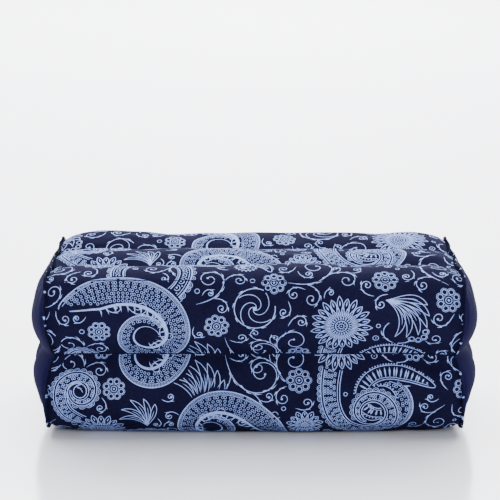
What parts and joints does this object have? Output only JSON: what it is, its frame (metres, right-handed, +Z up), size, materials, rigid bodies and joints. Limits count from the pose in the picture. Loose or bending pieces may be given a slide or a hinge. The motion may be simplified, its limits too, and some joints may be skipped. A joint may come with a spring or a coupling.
{
  "type": "yoga block cushion",
  "caption": "Firm rectangular yoga block cushion of stuffed tubes in a paisley-printed navy cotton cover, with plain bulging end panels and sewn channels along its length.",
  "frame": {"origin": "middle of the footprint, on the surface the cushion rests on", "axes": "+X along the tubes, from one end panel to the other; +Y from the front to the back; +Z up from the resting face"},
  "size_m": [0.3438, 0.18, 0.1292],
  "materials": {
    "printed_cotton": "matte woven cotton, navy with a pale blue paisley print",
    "plain_cotton": "matte woven cotton, plain navy"
  },
  "bodies": {
    "root": {"filled_body": "printed_cotton", "end_panel_left": "plain_cotton", "end_panel_right": "plain_cotton", "seam_binding_left": "printed_cotton", "seam_binding_right": "printed_cotton"}
  },
  "joints": []
}
